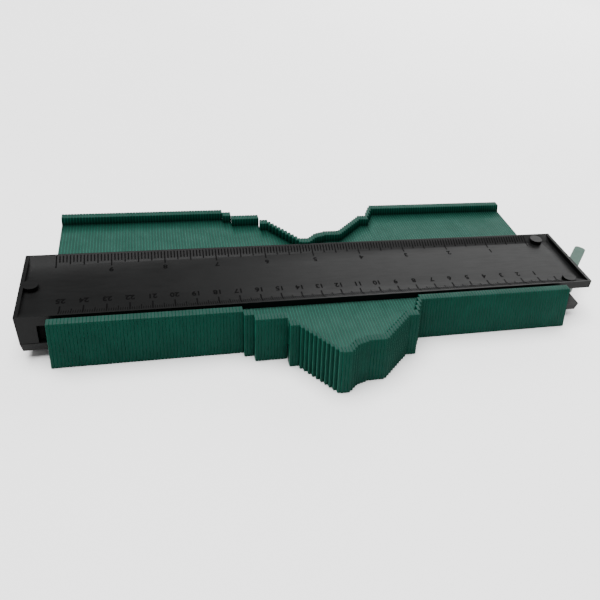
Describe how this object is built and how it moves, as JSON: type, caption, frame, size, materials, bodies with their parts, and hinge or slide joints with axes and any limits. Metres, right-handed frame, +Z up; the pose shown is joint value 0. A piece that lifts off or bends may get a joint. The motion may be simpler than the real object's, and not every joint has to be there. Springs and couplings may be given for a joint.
{
  "type": "contour gauge",
  "caption": "Pocket profile gauge: a stack of sliding plastic teeth held in a two-part ruler body, with a cam lever at one end that clamps the stack.",
  "frame": {"origin": "middle of the flat underside of the lower cover", "axes": "+X along the ruler towards the lock lever, +Y across it away from the centimetre scale, +Z up through the scales"},
  "size_m": [0.3051, 0.1212, 0.0257],
  "materials": {
    "black_plastic": "moulded, glossy, fine mould texture",
    "green_plastic": "moulded, semi-matt dark green",
    "pale_green_plastic": "moulded, semi-matt grey green",
    "rubber": "matt foam rubber",
    "steel": "zinc plated"
  },
  "bodies": {
    "body": {"upper_cover": "black_plastic", "lower_cover": "black_plastic", "friction_strip": "rubber", "stack_cushion": "rubber", "lever_pin": "steel", "cover_screw_1": "steel", "cover_screw_2": "steel", "cover_screw_3": "steel"},
    "lever": {"lock_lever": "pale_green_plastic"},
    "clamp": {"pressure_plate": "steel", "pressure_block": "black_plastic"},
    "teeth_01": {"teeth_01": "green_plastic"},
    "teeth_02": {"teeth_02": "green_plastic"},
    "teeth_03": {"teeth_03": "green_plastic"},
    "teeth_04": {"teeth_04": "green_plastic"},
    "teeth_05": {"teeth_05": "green_plastic"},
    "teeth_06": {"teeth_06": "green_plastic"},
    "teeth_07": {"teeth_07": "green_plastic"},
    "teeth_08": {"teeth_08": "green_plastic"},
    "teeth_09": {"teeth_09": "green_plastic"},
    "teeth_10": {"teeth_10": "green_plastic"},
    "teeth_11": {"teeth_11": "green_plastic"},
    "teeth_12": {"teeth_12": "green_plastic"},
    "teeth_13": {"teeth_13": "green_plastic"},
    "teeth_14": {"teeth_14": "green_plastic"},
    "teeth_15": {"teeth_15": "green_plastic"},
    "teeth_16": {"teeth_16": "green_plastic"},
    "teeth_17": {"teeth_17": "green_plastic"},
    "teeth_18": {"teeth_18": "green_plastic"},
    "teeth_19": {"teeth_19": "green_plastic"},
    "teeth_20": {"teeth_20": "green_plastic"},
    "teeth_21": {"teeth_21": "green_plastic"},
    "teeth_22": {"teeth_22": "green_plastic"},
    "teeth_23": {"teeth_23": "green_plastic"},
    "teeth_24": {"teeth_24": "green_plastic"},
    "teeth_25": {"teeth_25": "green_plastic"},
    "teeth_26": {"teeth_26": "green_plastic"},
    "teeth_27": {"teeth_27": "green_plastic"},
    "teeth_28": {"teeth_28": "green_plastic"},
    "teeth_29": {"teeth_29": "green_plastic"},
    "teeth_30": {"teeth_30": "green_plastic"},
    "teeth_31": {"teeth_31": "green_plastic"},
    "teeth_32": {"teeth_32": "green_plastic"},
    "teeth_33": {"teeth_33": "green_plastic"},
    "teeth_34": {"teeth_34": "green_plastic"},
    "teeth_35": {"teeth_35": "green_plastic"},
    "teeth_36": {"teeth_36": "green_plastic"},
    "teeth_37": {"teeth_37": "green_plastic"},
    "teeth_38": {"teeth_38": "green_plastic"},
    "teeth_39": {"teeth_39": "green_plastic"},
    "teeth_40": {"teeth_40": "green_plastic"},
    "teeth_41": {"teeth_41": "green_plastic"},
    "teeth_42": {"teeth_42": "green_plastic"},
    "teeth_43": {"teeth_43": "green_plastic"},
    "teeth_44": {"teeth_44": "green_plastic"},
    "teeth_45": {"teeth_45": "green_plastic"},
    "teeth_46": {"teeth_46": "green_plastic"}
  },
  "joints": [
    {"name": "lever_turn", "type": "hinge", "parent": "body", "child": "lever", "pos_m": [0.1383, -0.0092, 0.01], "axis": [0, 0, 1], "range_deg": [-46, 44]},
    {"name": "clamp_slide", "type": "slide", "parent": "body", "child": "clamp", "axis": [-1, 0, 0], "range_m": [-0.000307, 0.000294]},
    {"name": "teeth_01_slide", "type": "slide", "parent": "body", "child": "teeth_01", "axis": [0, 1, 0], "range_m": [-0.03175, 0.00295]},
    {"name": "teeth_02_slide", "type": "slide", "parent": "body", "child": "teeth_02", "axis": [0, 1, 0], "range_m": [-0.03175, 0.00295]},
    {"name": "teeth_03_slide", "type": "slide", "parent": "body", "child": "teeth_03", "axis": [0, 1, 0], "range_m": [-0.03175, 0.00295]},
    {"name": "teeth_04_slide", "type": "slide", "parent": "body", "child": "teeth_04", "axis": [0, 1, 0], "range_m": [-0.03175, 0.00295]},
    {"name": "teeth_05_slide", "type": "slide", "parent": "body", "child": "teeth_05", "axis": [0, 1, 0], "range_m": [-0.03175, 0.00295]},
    {"name": "teeth_06_slide", "type": "slide", "parent": "body", "child": "teeth_06", "axis": [0, 1, 0], "range_m": [-0.03175, 0.00295]},
    {"name": "teeth_07_slide", "type": "slide", "parent": "body", "child": "teeth_07", "axis": [0, 1, 0], "range_m": [-0.03175, 0.00295]},
    {"name": "teeth_08_slide", "type": "slide", "parent": "body", "child": "teeth_08", "axis": [0, 1, 0], "range_m": [-0.03175, 0.00295]},
    {"name": "teeth_09_slide", "type": "slide", "parent": "body", "child": "teeth_09", "axis": [0, 1, 0], "range_m": [-0.03175, 0.00295]},
    {"name": "teeth_10_slide", "type": "slide", "parent": "body", "child": "teeth_10", "axis": [0, 1, 0], "range_m": [-0.03175, 0.00295]},
    {"name": "teeth_11_slide", "type": "slide", "parent": "body", "child": "teeth_11", "axis": [0, 1, 0], "range_m": [-0.03175, 0.00295]},
    {"name": "teeth_12_slide", "type": "slide", "parent": "body", "child": "teeth_12", "axis": [0, 1, 0], "range_m": [-0.02911, 0.00559]},
    {"name": "teeth_13_slide", "type": "slide", "parent": "body", "child": "teeth_13", "axis": [0, 1, 0], "range_m": [-0.0253, 0.0094]},
    {"name": "teeth_14_slide", "type": "slide", "parent": "body", "child": "teeth_14", "axis": [0, 1, 0], "range_m": [-0.0253, 0.0094]},
    {"name": "teeth_15_slide", "type": "slide", "parent": "body", "child": "teeth_15", "axis": [0, 1, 0], "range_m": [-0.01988, 0.01482]},
    {"name": "teeth_16_slide", "type": "slide", "parent": "body", "child": "teeth_16", "axis": [0, 1, 0], "range_m": [-0.01591, 0.01686]},
    {"name": "teeth_17_slide", "type": "slide", "parent": "body", "child": "teeth_17", "axis": [0, 1, 0], "range_m": [-0.01206, 0.02071]},
    {"name": "teeth_18_slide", "type": "slide", "parent": "body", "child": "teeth_18", "axis": [0, 1, 0], "range_m": [-0.00822, 0.02456]},
    {"name": "teeth_19_slide", "type": "slide", "parent": "body", "child": "teeth_19", "axis": [0, 1, 0], "range_m": [-0.00437, 0.02841]},
    {"name": "teeth_20_slide", "type": "slide", "parent": "body", "child": "teeth_20", "axis": [0, 1, 0], "range_m": [-0.00052, 0.03226]},
    {"name": "teeth_21_slide", "type": "slide", "parent": "body", "child": "teeth_21", "axis": [0, 1, 0], "range_m": [-0.00017, 0.03453]},
    {"name": "teeth_22_slide", "type": "slide", "parent": "body", "child": "teeth_22", "axis": [0, 1, 0], "range_m": [-0.00121, 0.03349]},
    {"name": "teeth_23_slide", "type": "slide", "parent": "body", "child": "teeth_23", "axis": [0, 1, 0], "range_m": [-0.0026, 0.0321]},
    {"name": "teeth_24_slide", "type": "slide", "parent": "body", "child": "teeth_24", "axis": [0, 1, 0], "range_m": [-0.00399, 0.03071]},
    {"name": "teeth_25_slide", "type": "slide", "parent": "body", "child": "teeth_25", "axis": [0, 1, 0], "range_m": [-0.00468, 0.02915]},
    {"name": "teeth_26_slide", "type": "slide", "parent": "body", "child": "teeth_26", "axis": [0, 1, 0], "range_m": [-0.00625, 0.02845]},
    {"name": "teeth_27_slide", "type": "slide", "parent": "body", "child": "teeth_27", "axis": [0, 1, 0], "range_m": [-0.00694, 0.02637]},
    {"name": "teeth_28_slide", "type": "slide", "parent": "body", "child": "teeth_28", "axis": [0, 1, 0], "range_m": [-0.00972, 0.0236]},
    {"name": "teeth_29_slide", "type": "slide", "parent": "body", "child": "teeth_29", "axis": [0, 1, 0], "range_m": [-0.01249, 0.02082]},
    {"name": "teeth_30_slide", "type": "slide", "parent": "body", "child": "teeth_30", "axis": [0, 1, 0], "range_m": [-0.01527, 0.01804]},
    {"name": "teeth_31_slide", "type": "slide", "parent": "body", "child": "teeth_31", "axis": [0, 1, 0], "range_m": [-0.01804, 0.01527]},
    {"name": "teeth_32_slide", "type": "slide", "parent": "body", "child": "teeth_32", "axis": [0, 1, 0], "range_m": [-0.02089, 0.01381]},
    {"name": "teeth_33_slide", "type": "slide", "parent": "body", "child": "teeth_33", "axis": [0, 1, 0], "range_m": [-0.02429, 0.01041]},
    {"name": "teeth_34_slide", "type": "slide", "parent": "body", "child": "teeth_34", "axis": [0, 1, 0], "range_m": [-0.02707, 0.00763]},
    {"name": "teeth_35_slide", "type": "slide", "parent": "body", "child": "teeth_35", "axis": [0, 1, 0], "range_m": [-0.02984, 0.00486]},
    {"name": "teeth_36_slide", "type": "slide", "parent": "body", "child": "teeth_36", "axis": [0, 1, 0], "range_m": [-0.03192, 0.00278]},
    {"name": "teeth_37_slide", "type": "slide", "parent": "body", "child": "teeth_37", "axis": [0, 1, 0], "range_m": [-0.03192, 0.00278]},
    {"name": "teeth_38_slide", "type": "slide", "parent": "body", "child": "teeth_38", "axis": [0, 1, 0], "range_m": [-0.03192, 0.00278]},
    {"name": "teeth_39_slide", "type": "slide", "parent": "body", "child": "teeth_39", "axis": [0, 1, 0], "range_m": [-0.03192, 0.00278]},
    {"name": "teeth_40_slide", "type": "slide", "parent": "body", "child": "teeth_40", "axis": [0, 1, 0], "range_m": [-0.03192, 0.00278]},
    {"name": "teeth_41_slide", "type": "slide", "parent": "body", "child": "teeth_41", "axis": [0, 1, 0], "range_m": [-0.03192, 0.00278]},
    {"name": "teeth_42_slide", "type": "slide", "parent": "body", "child": "teeth_42", "axis": [0, 1, 0], "range_m": [-0.03192, 0.00278]},
    {"name": "teeth_43_slide", "type": "slide", "parent": "body", "child": "teeth_43", "axis": [0, 1, 0], "range_m": [-0.03192, 0.00278]},
    {"name": "teeth_44_slide", "type": "slide", "parent": "body", "child": "teeth_44", "axis": [0, 1, 0], "range_m": [-0.03192, 0.00278]},
    {"name": "teeth_45_slide", "type": "slide", "parent": "body", "child": "teeth_45", "axis": [0, 1, 0], "range_m": [-0.03192, 0.00278]},
    {"name": "teeth_46_slide", "type": "slide", "parent": "body", "child": "teeth_46", "axis": [0, 1, 0], "range_m": [-0.03192, 0.00278]}
  ],
  "couplings": [
    {"joint": "clamp_slide", "follows": "lever_turn", "m_per_rad": 0.00038197}
  ]
}
